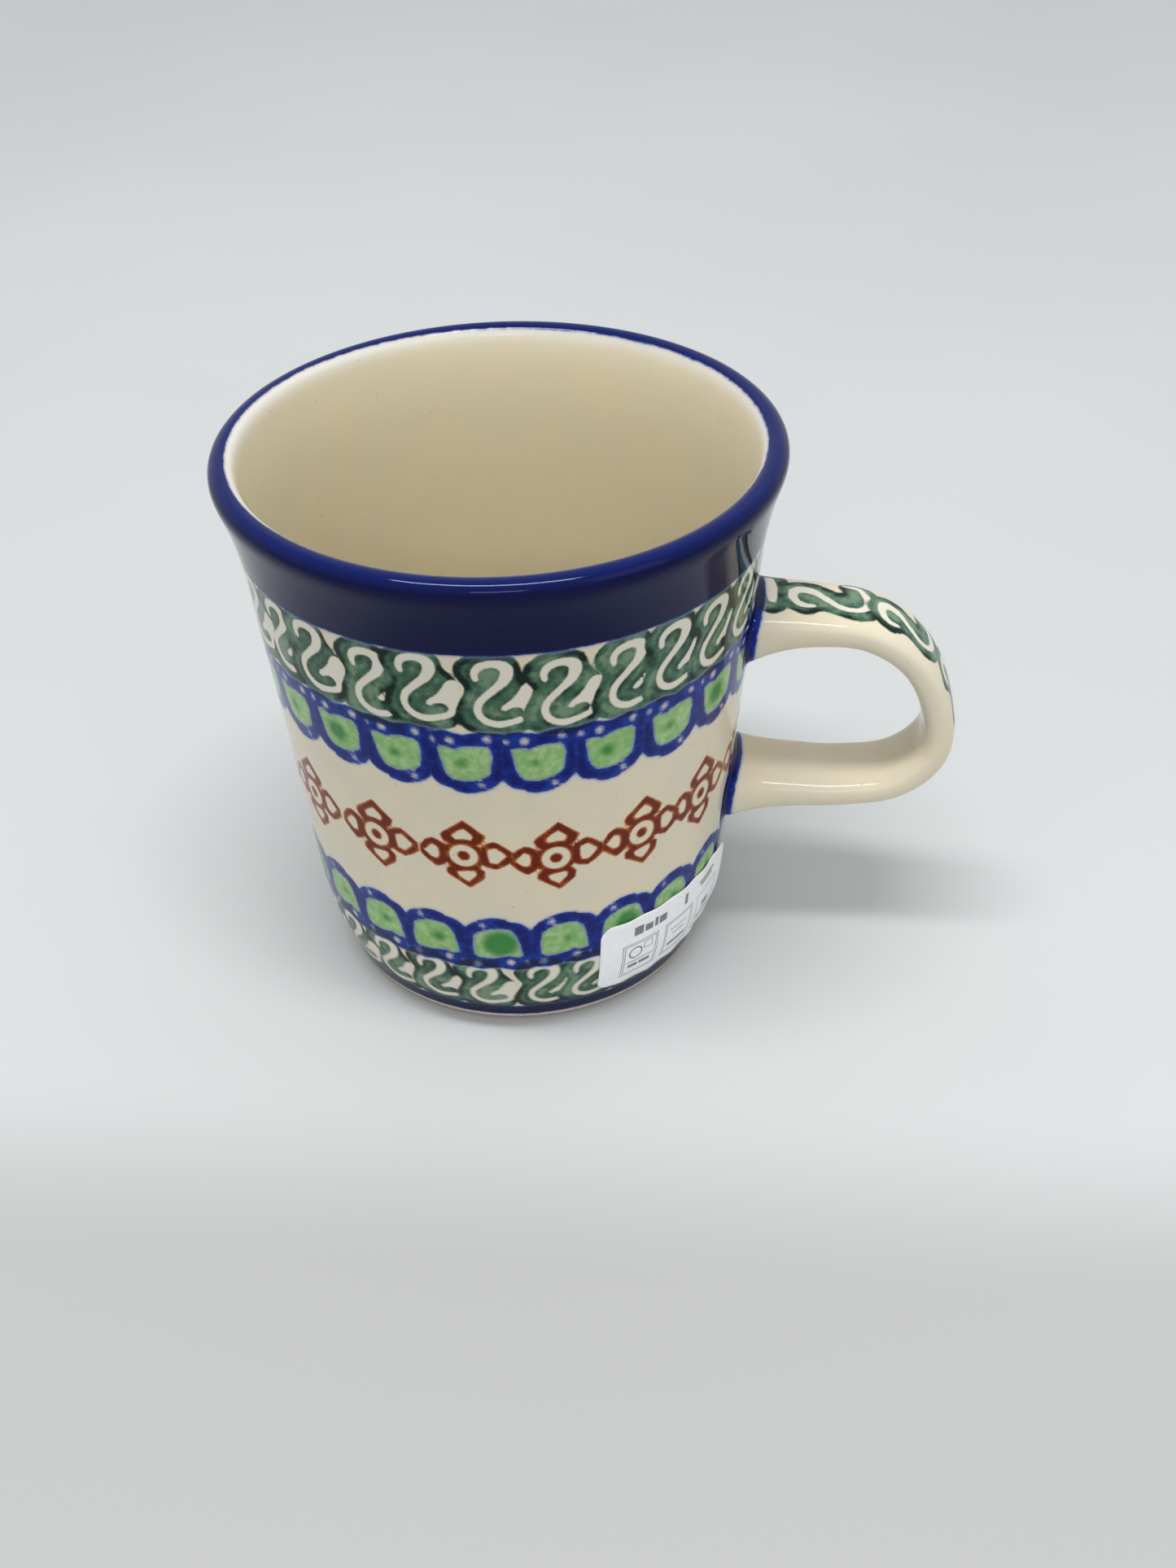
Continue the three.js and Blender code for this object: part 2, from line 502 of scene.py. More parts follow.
def place_vertices(piece, rows):
    """Put the piece's vertices at rows of x, y, z in millimetres from the body's axis."""
    rows = np.array(rows, float) * MM
    rows[:, 0] += AXIS_X
    piece.data.vertices.foreach_set("co", rows.astype(np.float32).ravel())
    piece.data.update()


def store(piece, name, values):
    """Keep one number per vertex on the piece, for its glaze to read."""
    layer = piece.data.attributes.new(name, "FLOAT", "POINT")
    layer.data.foreach_set("value", np.clip(values, -FAR, FAR).astype(np.float32))


# ---- distances, in millimetres: negative inside ----


def stroke_distance(points, stroke):
    """Distance to a brush stroke given as rows of (across, up, half width)."""
    nearest = np.full(len(points), FAR)
    for start, end in zip(stroke, stroke[1:]):
        run = end[:2] - start[:2]
        offset = points - start[:2]
        share = np.clip(offset @ run / (run @ run), 0, 1)
        half = start[2] + share * (end[2] - start[2])
        nearest = np.minimum(nearest, np.linalg.norm(offset - share[:, None] * run, axis=1) - half)
    return nearest


def outline_distance(points, outline):
    """Distance to a closed outline given as rows of (across, up)."""
    corners = np.array(outline, float)
    nearest = np.full(len(points), FAR)
    inside = np.zeros(len(points), bool)
    for start, end in zip(corners, np.roll(corners, -1, axis=0)):
        run = end - start
        offset = points - start
        share = np.clip(offset @ run / (run @ run), 0, 1)
        nearest = np.minimum(nearest, np.linalg.norm(offset - share[:, None] * run, axis=1))
        crosses = (start[1] > points[:, 1]) != (end[1] > points[:, 1])
        rise = run[1] if run[1] else 1e-9
        inside ^= crosses & (points[:, 0] < start[0] + run[0] * (points[:, 1] - start[1]) / rise)
    return np.where(inside, -nearest, nearest)


def disc_distance(points, across, up, radius):
    """Distance to a round dot."""
    return np.hypot(points[:, 0] - across, points[:, 1] - up) - radius


def placed_round(front, count):
    """The stamps listed at the front, and the rest spaced evenly round the back."""
    first, last = front[0], front[-1]
    rest = count - len(front)
    step = (first[0] + 360 - last[0]) / (rest + 1)
    return front + [(last[0] + step * k, front[k % len(front)][1]) for k in range(1, rest + 1)]


class Artwork:
    """The stamped decoration on one piece, kept as distances to each colour's edge."""

    FIELDS = ("green", "line", "seam", "cobalt", "filling", "touch", "brown")

    def __init__(self, size):
        self.fields = {name: np.full(size, FAR) for name in self.FIELDS}

    def lay(self, near, name, distance):
        """Join a new shape to one colour."""
        self.fields[name][near] = np.minimum(self.fields[name][near], distance)

    def scroll(self, near, points, body, line, star=None):
        """Press one scroll over whatever lies there already."""
        inked = outline_distance(points, body)
        bare = stroke_distance(points, line)
        if star is not None:
            bare = np.minimum(bare, outline_distance(points, star))
        for name, new in (("line", bare), ("seam", np.abs(inked))):
            self.fields[name][near] = np.minimum(new, np.maximum(self.fields[name][near], -inked))
        self.lay(near, "green", inked)

    def cup(self, near, points, touch):
        """Press one scallop cup, fill it and touch it with darker green."""
        filling = outline_distance(points, CUP_FILLING)
        ring = np.maximum(outline_distance(points, CUP_RING), -filling)
        for across, up, radius in CUP_DOTS:
            dot = disc_distance(points, across, up, radius)
            ring = np.maximum(ring, -CUP_DOT_STRENGTH * dot)
        self.lay(near, "cobalt", ring)
        self.lay(near, "filling", filling)
        self.lay(near, "touch", disc_distance(points, *CUP_TOUCH_MIDDLE, touch))

    def flower(self, near, points):
        """Press one flower of the chain."""
        brown = disc_distance(points, 0, 0, FLOWER_DISC)
        for petal in FLOWER_PETALS:
            brown = np.minimum(brown, outline_distance(points, petal))
        for hole in FLOWER_HOLES:
            brown = np.maximum(brown, -outline_distance(points, hole))
        inner, outer = FLOWER_RING
        bare_ring = np.abs(disc_distance(points, 0, 0, (inner + outer) / 2)) - (outer - inner) / 2
        self.lay(near, "brown", np.maximum(brown, -bare_ring))

    def keep(self, piece):
        """Write every colour's distances on the piece."""
        for name, values in self.fields.items():
            store(piece, name, values)


def joint_outline_distance(points, height, margin):
    """Distance from the swollen end of the strap, seen square on; points are (y, z)."""
    half_width = HANDLE_WIDTH / 2 * (1 + FLARE_WIDTH_GAIN)
    half_height = HANDLE_THICKNESS / 2 * (1 + FLARE_HEIGHT_GAIN)
    straight = np.array([half_width, half_height]) + margin - JOINT_CORNER
    inset = np.abs(points - [0, height]) - straight
    outside = np.linalg.norm(np.maximum(inset, 0), axis=1)
    return outside + np.minimum(inset.max(axis=1), 0) - JOINT_CORNER


# ---- body ----


def arc(centre, radius, turns):
    """Points on a round stretch of the half section, at these turns in degrees."""
    middle_radius, middle_height = centre
    return [
        (
            middle_radius + radius * math.cos(math.radians(turn)),
            middle_height + radius * math.sin(math.radians(turn)),
        )
        for turn in turns
    ]


def body_outline():
    """Half section of the body, from the middle of its base round to the middle of its floor."""
    lip_centre = (OUTER_WALL[-1][0] - LIP_RADIUS, OUTER_WALL[-1][1])
    lip = arc(lip_centre, LIP_RADIUS, (36, 72, 108, 144))
    corner_centre = (INNER_WALL[-1][0] - FLOOR_CORNER, FLOOR_HEIGHT + FLOOR_CORNER)
    corner = arc(corner_centre, FLOOR_CORNER, (-30, -60, -90))
    outer = [tuple(row) for row in smooth_line(OUTER_WALL, WALL_STEPS)]
    inner = [tuple(row) for row in smooth_line(INNER_WALL, INNER_STEPS)]
    return FOOT + outer + lip + inner + corner + [(radius, FLOOR_HEIGHT) for radius in FLOOR_STEPS]


def turn_outline(name, outline):
    """Draw a half section point by point and spin it round the body's axis."""
    radius, height = outline[0]
    bpy.ops.object.select_all(action="DESELECT")
    start = (AXIS_X + radius * MM, 0, height * MM)
    bpy.ops.mesh.primitive_plane_add(size=MM, location=start)
    piece = bpy.context.object
    piece.name = piece.data.name = name
    bpy.ops.object.transform_apply(location=True, rotation=True, scale=True)
    bpy.ops.object.mode_set(mode="EDIT")
    bpy.ops.mesh.select_all(action="SELECT")
    bpy.ops.mesh.merge(type="CENTER")
    for (radius, height), (next_radius, next_height) in zip(outline, outline[1:]):
        step = ((next_radius - radius) * MM, 0, (next_height - height) * MM)
        bpy.ops.mesh.extrude_region_move(TRANSFORM_OT_translate={"value": step})
    bpy.ops.mesh.select_all(action="SELECT")
    axis_point = (AXIS_X, 0, 0)
    bpy.ops.mesh.spin(steps=SPIN_STEPS, angle=2 * math.pi, center=axis_point, axis=(0, 0, 1))
    bpy.ops.mesh.select_all(action="SELECT")
    bpy.ops.mesh.remove_doubles(threshold=MERGE_DISTANCE * MM)
    bpy.ops.mesh.normals_make_consistent(inside=False)
    bpy.ops.object.mode_set(mode="OBJECT")
    return piece


def refine_stamped_wall(piece):
    """Split the stamped part of the wall once more, each new point on the turned curve."""
    rows = coordinates(piece)
    radius = np.hypot(rows[:, 0], rows[:, 1])
    height = rows[:, 2]
    on_wall = (radius > outer_radius(height) - SKIN_DEPTH) & (height > REFINED_FROM)
    seam = on_wall & (rows[:, 0] > 0) & (np.abs(rows[:, 1]) < SEAM_WIDTH)
    order = height[seam].argsort()
    curve = np.column_stack([radius[seam], height[seam]])[order]
    curve = smooth_line(curve, REFINED_SAMPLES)
    stamped = on_wall & (height < STAMPED_TO)
    for polygon in piece.data.polygons:
        polygon.select = bool(stamped[list(polygon.vertices)].all())
    piece.data.vertices.foreach_set("select", stamped)
    only(piece)
    bpy.ops.object.mode_set(mode="EDIT")
    bpy.ops.mesh.select_mode(type="FACE")
    bpy.ops.mesh.subdivide(number_cuts=1)
    bpy.ops.mesh.select_mode(type="VERT")
    bpy.ops.object.mode_set(mode="OBJECT")
    rows = coordinates(piece)
    radius = np.hypot(rows[:, 0], rows[:, 1])
    height = rows[:, 2]
    moved = (radius > outer_radius(height) - SKIN_DEPTH) & (height > REFINED_FROM)
    moved &= height < STAMPED_TO + REFINED_MARGIN
    scale = np.interp(height[moved], curve[:, 1], curve[:, 0]) / radius[moved]
    rows[moved, :2] *= scale[:, None]
    place_vertices(piece, rows)


def decorate_body(piece):
    """Set every stamp of the body's bands and store the result on its mesh."""
    rows = coordinates(piece)
    radius = np.hypot(rows[:, 0], rows[:, 1])
    height = rows[:, 2]
    angle = np.degrees(np.arctan2(rows[:, 1], rows[:, 0]))
    wall = outer_radius(height)
    outside = (radius > wall - SKIN_DEPTH) & (height > STAMPED_FROM)
    art = Artwork(len(rows))

    def local(place, reach=STAMP_REACH, scale=1.0):
        """Vertices near a stamp, and their places in the stamp's own millimetres."""
        degrees, middle = place
        turn = (angle - degrees + 180) % 360 - 180
        across = np.radians(turn) * wall / scale
        up = (height - middle) / scale
        near = outside & (np.abs(across) < reach) & (np.abs(up) < reach)
        return near, np.column_stack([across[near], up[near]])

    stamp = (
        smooth_line(SCROLL_BODY, OUTLINE_POINTS, closed=True),
        smooth_line(SCROLL_LINE, STROKE_POINTS),
        smooth_line(SCROLL_STAR, SMALL_OUTLINE_POINTS, closed=True),
    )
    for place in placed_round(UPPER_SCROLLS, UPPER_SCROLL_COUNT):
        art.scroll(*local(place), *stamp)
    for place in placed_round(LOWER_SCROLLS, LOWER_SCROLL_COUNT):
        art.scroll(*local(place, scale=LOWER_SCROLL_SCALE), *stamp)
    for index, place in enumerate(placed_round(UPPER_CUPS, UPPER_CUP_COUNT)):
        art.cup(*local(place), UPPER_TOUCHES[index % len(UPPER_TOUCHES)])
    for index, place in enumerate(placed_round(LOWER_CUPS, LOWER_CUP_COUNT)):
        near, points = local(place)
        art.cup(near, -points, LOWER_TOUCHES[index % len(LOWER_TOUCHES)])
    for place in placed_round(FLOWERS, FLOWER_COUNT):
        art.flower(*local(place, reach=FLOWER_REACH))
    by_handle = outside & (rows[:, 0] > 0) & (np.abs(rows[:, 1]) < JOINT_REACH)
    offset, half = JOINT_BAND
    for joint in (UPPER_JOINT_HEIGHT, LOWER_JOINT_HEIGHT):
        ring = joint_outline_distance(rows[by_handle][:, 1:], joint, offset)
        art.lay(by_handle, "cobalt", np.abs(ring) - half)
    art.keep(piece)

    crest = OUTER_WALL[-1][0] - LIP_RADIUS
    turn = np.radians(angle)
    once, twice = PAST_CREST_WAVES
    past_crest = PAST_CREST + once * np.cos(turn) + twice * np.cos(2 * turn)
    on_outer_face = (radius > wall - SKIN_DEPTH) & (height < LIP_FROM)
    store(piece, "inside", np.where(on_outer_face, -FAR, crest - past_crest - radius))


# ---- handle ----


def rounded(turn, half_width, half_height):
    """A point at this turn on the strap's rounded rectangular section."""
    power = 2 / SECTION_POWER
    across, up = math.cos(turn), math.sin(turn)
    return (
        math.copysign(abs(across) ** power, across) * half_width,
        math.copysign(abs(up) ** power, up) * half_height,
    )


def model_strap():
    """Sweep the strap's rounded section along its centre line, one extrusion at a time."""
    stations = smooth_line(HANDLE_LINE, HANDLE_STATIONS)
    start = (AXIS_X + stations[0][0] * MM, 0, stations[0][1] * MM)
    bpy.ops.object.select_all(action="DESELECT")
    bpy.ops.mesh.primitive_circle_add(
        vertices=SECTION_POINTS,
        radius=HANDLE_THICKNESS / 2 * MM,
        fill_type="NGON",
        location=start,
        rotation=(0, math.pi / 2, 0),
    )
    piece = bpy.context.object
    piece.name = piece.data.name = "strap_handle"
    bpy.ops.object.transform_apply(location=True, rotation=True, scale=True)
    for vertex in piece.data.vertices:
        turn = math.atan2(vertex.co.z - start[2], vertex.co.y)
        across, up = rounded(turn, HANDLE_WIDTH / 2, HANDLE_THICKNESS / 2)
        vertex.co.y = across * MM
        vertex.co.z = start[2] + up * MM
    bpy.ops.object.mode_set(mode="EDIT")
    bpy.ops.mesh.select_all(action="SELECT")
    heading = 0.0
    for index in range(1, len(stations)):
        reach, height = stations[index]
        last_reach, last_height = stations[index - 1]
        step = ((reach - last_reach) * MM, 0, (height - last_height) * MM)
        bpy.ops.mesh.extrude_region_move(TRANSFORM_OT_translate={"value": step})
        ahead = stations[min(index + 1, len(stations) - 1)]
        new_heading = math.atan2(ahead[1] - last_height, ahead[0] - last_reach)
        turn = (new_heading - heading + math.pi) % (2 * math.pi) - math.pi
        heading = new_heading
        bpy.ops.transform.rotate(
            value=turn,
            orient_axis="Y",
            orient_type="GLOBAL",
            center_override=(AXIS_X + reach * MM, 0, height * MM),
        )
    bpy.ops.object.mode_set(mode="OBJECT")
    apply_modifier(piece, "SUBSURF", levels=2, render_levels=2)
    return piece


def swell_ends(piece):
    """Swell the strap where it meets the wall, dying away along it."""
    rows = coordinates(piece)
    middle = (UPPER_JOINT_HEIGHT + LOWER_JOINT_HEIGHT) / 2
    joint = np.where(rows[:, 2] > middle, UPPER_JOINT_HEIGHT, LOWER_JOINT_HEIGHT)
    from_wall = np.maximum(0, rows[:, 0] - outer_radius(joint))
    fade = np.exp(-from_wall / FLARE_LENGTH)
    rows[:, 1] *= 1 + FLARE_WIDTH_GAIN * fade
    rows[:, 2] = joint + (rows[:, 2] - joint) * (1 + FLARE_HEIGHT_GAIN * fade)
    place_vertices(piece, rows)


def decorate_handle(piece):
    """Set the scrolls along the strap's outer face and the brushed ends."""
    rows = coordinates(piece)
    line = smooth_line(HANDLE_LINE, STRAP_SAMPLES)
    length = np.r_[0, np.cumsum(np.linalg.norm(np.diff(line, axis=0), axis=1))]
    by_wall = slice(0, STRAP_SAMPLES_BY_WALL)
    length -= np.interp(outer_radius(UPPER_JOINT_HEIGHT), line[by_wall, 0], length[by_wall])
    gaps = np.linalg.norm(rows[:, None, [0, 2]] - line[None, :, :], axis=2)
    nearest = gaps.argmin(axis=1)
    along = length[nearest]
    heading = np.gradient(line, axis=0)[nearest]
    offset = rows[:, [0, 2]] - line[nearest]
    outward = offset[:, 1] * heading[:, 0] - offset[:, 0] * heading[:, 1]
    outer_face = outward > 0
    across = rows[:, 1]
    art = Artwork(len(rows))
    scroll_line = smooth_line(SCROLL_LINE, STROKE_POINTS)
    scroll_body = smooth_line(HANDLE_SCROLL_BODY, OUTLINE_POINTS, closed=True)
    eye_line = smooth_line(HANDLE_EYE, EYE_POINTS)
    eye_body = smooth_line(HANDLE_EYE_BODY, SMALL_OUTLINE_POINTS, closed=True)
    eye_points = np.column_stack([along[outer_face], across[outer_face]])
    art.scroll(outer_face, eye_points, eye_body, eye_line)
    for middle, stretch in HANDLE_SCROLLS:
        points = np.column_stack([across, (middle - along) * stretch])
        near = outer_face & (np.abs(points[:, 1]) < STAMP_REACH)
        art.scroll(near, points[near], scroll_body, scroll_line)
    wall = outer_radius(rows[:, 2])
    to_wall = np.hypot(rows[:, 0], rows[:, 1]) - wall
    art.lay(np.ones(len(rows), bool), "cobalt", to_wall - FILLET_RADIUS - PAINTED_COLLAR)
    art.keep(piece)
    store(piece, "inside", np.full(len(rows), -FAR))


# ---- joints ----

# The bead's hollow face, how far it sinks into strap and wall, and how finely it is divided.
FILLET_RADIUS = 1.0
FILLET_SINK = 0.5
FILLET_AROUND = 96
FILLET_PROFILE = 20
FILLET_FACE_STEPS = 10


def fillet_profile():
    """Section of the bead as (lift off the wall, margin outside the strap), once round."""
    face = [
        (FILLET_RADIUS * (1 - math.sin(turn)), FILLET_RADIUS * (1 - math.cos(turn)))
        for turn in np.linspace(0, math.pi / 2, FILLET_FACE_STEPS)
    ]
    back = np.array(
        [
            (-FILLET_SINK, FILLET_RADIUS - 0.2),
            (-FILLET_SINK, -FILLET_SINK),
            (FILLET_RADIUS - 0.1, -FILLET_SINK),
        ]
    )
    places = np.linspace(0, 2, FILLET_PROFILE - FILLET_FACE_STEPS)
    return face + list(zip(*(np.interp(places, [0, 1, 2], column) for column in back.T)))


def model_fillet(name, joint):
    """A hollow-faced bead of slip run round one end of the strap, from handle to wall."""
    bpy.ops.object.select_all(action="DESELECT")
    bpy.ops.mesh.primitive_torus_add(
        major_segments=FILLET_AROUND,
        minor_segments=FILLET_PROFILE,
        major_radius=HANDLE_WIDTH / 2 * MM,
        minor_radius=FILLET_RADIUS * MM,
        location=(AXIS_X + float(outer_radius(joint)) * MM, 0, joint * MM),
        rotation=(0, math.pi / 2, 0),
    )
    piece = bpy.context.object
    piece.name = piece.data.name = name
    bpy.ops.object.transform_apply(location=True, rotation=True, scale=True)
    profile = fillet_profile()
    rows = []
    for step in range(FILLET_AROUND):
        turn = 2 * math.pi * step / FILLET_AROUND
        for lift, margin in profile:
            fade = math.exp(-max(lift, 0) / FLARE_LENGTH)
            half_width = HANDLE_WIDTH / 2 * (1 + FLARE_WIDTH_GAIN * fade) + margin
            half_height = HANDLE_THICKNESS / 2 * (1 + FLARE_HEIGHT_GAIN * fade) + margin
            across, up = rounded(turn, half_width, half_height)
            height = joint + up
            reach = math.sqrt(float(outer_radius(height)) ** 2 - across**2)
            rows.append((reach + lift, across, height))
    place_vertices(piece, rows)
    only(piece)
    bpy.ops.object.mode_set(mode="EDIT")
    bpy.ops.mesh.select_all(action="SELECT")
    bpy.ops.mesh.normals_make_consistent(inside=False)
    bpy.ops.object.mode_set(mode="OBJECT")
    return piece


# ---- label ----

LABEL_THICKNESS = 0.12
LABEL_CORNER = 2.2
LABEL_FIRST_EDGE = -62.5
LABEL_LENGTH = 30.0
LABEL_BOTTOM = 5.4
LABEL_HEIGHT = 14.8
LABEL_GRID = (61, 31)

# The sheet's gap to the wall, the puckers along its edges and the lift of its last corner.
LABEL_GAP = 0.04
LABEL_PUCKER = 0.10
LABEL_PUCKERS_PER_MM = 1.1
LABEL_CURL = 0.5
LABEL_CURL_LENGTH = 6.0

# Places across the label are stored this many times smaller, to stay within FAR.
LABEL_ACROSS_SCALE = 2.0


def model_label():
    """A rounded paper rectangle wrapped round the foot of the wall."""
    bpy.ops.object.select_all(action="DESELECT")
    columns, lines = LABEL_GRID
    bpy.ops.mesh.primitive_grid_add(x_subdivisions=columns - 1, y_subdivisions=lines - 1, size=2)
    piece = bpy.context.object
    piece.name = piece.data.name = "paper_label"
    flat = np.array([tuple(vertex.co) for vertex in piece.data.vertices])
    half = np.array([LABEL_LENGTH / 2, LABEL_HEIGHT / 2])
    places = flat[:, :2] * half
    inset = np.abs(places) - (half - LABEL_CORNER)
    a, b = np.clip(inset / LABEL_CORNER, 0, 1).T
    in_corner = (inset > 0).all(axis=1)
    rounded = np.column_stack([a * np.sqrt(1 - b**2 / 2), b * np.sqrt(1 - a**2 / 2)])
    corner_places = np.sign(places) * (half - LABEL_CORNER + rounded * LABEL_CORNER)
    places = np.where(in_corner[:, None], corner_places, places)
    store(piece, "label_across", places[:, 0] / LABEL_ACROSS_SCALE)
    store(piece, "label_up", places[:, 1])
    height = LABEL_BOTTOM + LABEL_HEIGHT / 2 + places[:, 1]
    base_radius = float(outer_radius(LABEL_BOTTOM + LABEL_HEIGHT / 2))
    angle = math.radians(LABEL_FIRST_EDGE) + (places[:, 0] + LABEL_LENGTH / 2) / base_radius
    puckers = 1 + np.sin(places[:, 0] * LABEL_PUCKERS_PER_MM + 0.6)
    pucker = LABEL_PUCKER * puckers * (np.abs(places[:, 1]) / half[1]) ** 4
    from_curl = (places[:, 0] - half[0] + LABEL_CURL_LENGTH) / LABEL_CURL_LENGTH
    curl = LABEL_CURL * np.clip(from_curl, 0, 1) ** 2
    radius = outer_radius(height) + LABEL_GAP + pucker + curl
    rows = np.column_stack([radius * np.cos(angle), radius * np.sin(angle), height])
    place_vertices(piece, rows)
    apply_modifier(piece, "SOLIDIFY", thickness=LABEL_THICKNESS * MM, offset=1.0)
    return piece


# ---- materials ----

# Sizes of the glaze's patterns and heights of its relief, in millimetres.
FINE_GRAIN = 0.45
MIDDLING_GRAIN = 1.6
CLOUD_GRAIN = 9.0
SPECK_SPACING = 2.6
SPONGE_GRAIN = 0.9
POOL_GRAIN = 3.6
MOTTLE_GRAIN = 1.1
STREAK_GRAIN = 1.3
WAVE_GRAIN = 7.0
WAVE_HEIGHT = 0.05
RIPPLE_GRAIN = 1.1
RIPPLE_HEIGHT = 0.006
PIT_HEIGHT = 0.12
SLIP_STREAK_GRAIN = 2.2
FIBRE_GRAIN = 0.5
FIBRE_HEIGHT = 0.01
BOARD_CLOUD = 160.0

# How far stamped edges stray from the drawing: finely ragged, and slowly wandering.
RAGGED_EDGE = 0.22
WANDERING_EDGE = 0.36

# Heights between which the cobalt thins over the lip, and the whiter glaze inside it fades.
LIP_COBALT = (86.2, 87.8)
LIP_HALO = (85.0, 87.2)
GLAZE_LINE_FADE = 0.2

GLAZE_IOR = 1.5
BARE_CLAY_ROUGHNESS = 0.8
BOARD_ROUGHNESS = 0.55
BOARD_SPECULAR = 0.3

# The board's front, painted darker as shade, comes in between these depths, in metres.
BOARD_FRONT_SHADE_FADE = (-0.080, -0.044)


def fill_inputs(tree, node, inputs):
    """Give a node's inputs their values, or link them to other nodes' outputs."""
    for key, value in inputs.items():
        if isinstance(value, bpy.types.NodeSocket):
            tree.links.new(value, node.inputs[key])
        else:
            node.inputs[key].default_value = value


class Finish:
    """One material's node tree, with short ways to add the nodes it is made of."""

    def __init__(self, name, colours):
        self.material = bpy.data.materials.new(name)
        self.material.use_nodes = True
        self.tree = self.material.node_tree
        self.tree.nodes.clear()
        self.colours = colours
        self.shader = self.add("ShaderNodeBsdfPrincipled")
        self.add("ShaderNodeOutputMaterial", {"Surface": self.shader.outputs[0]})
        self.place = self.add("ShaderNodeTexCoord").outputs["Object"]

    def add(self, kind, inputs=None, **settings):
        """Add a shader node; inputs maps sockets to values or to another node's output."""
        made = self.tree.nodes.new(kind)
        for name, value in settings.items():
            setattr(made, name, value)
        fill_inputs(self.tree, made, inputs or {})
        return made

    def attribute(self, name):
        """A number stored on the mesh."""
        return self.add("ShaderNodeAttribute", attribute_name=name).outputs["Fac"]

    def compute(self, operation, *values):
        """One sum."""
        return self.add("ShaderNodeMath", dict(enumerate(values)), operation=operation).outputs[0]

    def plus(self, first, second):
        return self.compute("ADD", first, second)

    def less(self, first, second):
        return self.compute("SUBTRACT", first, second)

    def times(self, first, second):
        return self.compute("MULTIPLY", first, second)

    def larger(self, first, second):
        return self.compute("MAXIMUM", first, second)

    def smaller(self, first, second):
        return self.compute("MINIMUM", first, second)

    def scaled(self, value, gain, shift):
        """The value times a gain, plus a shift."""
        return self.compute("MULTIPLY_ADD", value, gain, shift)

    def ramp(self, value, low, high, start=0.0, end=1.0):
        """Smooth step of value from low to high."""
        limits = {"From Min": low, "From Max": high, "To Min": start, "To Max": end}
        return self.add(
            "ShaderNodeMapRange", {"Value": value, **limits}, interpolation_type="SMOOTHSTEP"
        ).outputs[0]

    def grain(self, size, detail=2.0, seed=0.0, roughness=0.5):
        """Noise from 0 to 1 with features of this size in millimetres."""
        settings = {"Scale": per_mm(size), "Detail": detail, "W": seed, "Roughness": roughness}
        return self.add(
            "ShaderNodeTexNoise", {"Vector": self.place, **settings}, noise_dimensions="4D"
        ).outputs[0]

    def paint(self, under, over, share):
        """Colour over laid on colour under by a share from 0 to 1; a name means a set colour."""
        under, over = (
            (*getattr(self.colours, layer), 1.0) if isinstance(layer, str) else layer
            for layer in (under, over)
        )
        mix = {"Factor": share, 6: under, 7: over}
        return self.add("ShaderNodeMix", mix, data_type="RGBA").outputs[2]

    def relief(self, height, millimetres, strength=1.0, over=None):
        """Bumps of this height, over any relief that is there already."""
        inputs = {"Height": height, "Distance": millimetres * MM, "Strength": strength}
        if over is not None:
            inputs["Normal"] = over
        return self.add("ShaderNodeBump", inputs).outputs[0]

    def finish(self, **sockets):
        """Set or link the surface shader's sockets and hand over the material."""
        names = {name.replace("_", " "): value for name, value in sockets.items()}
        fill_inputs(self.tree, self.shader, names)
        return self.material


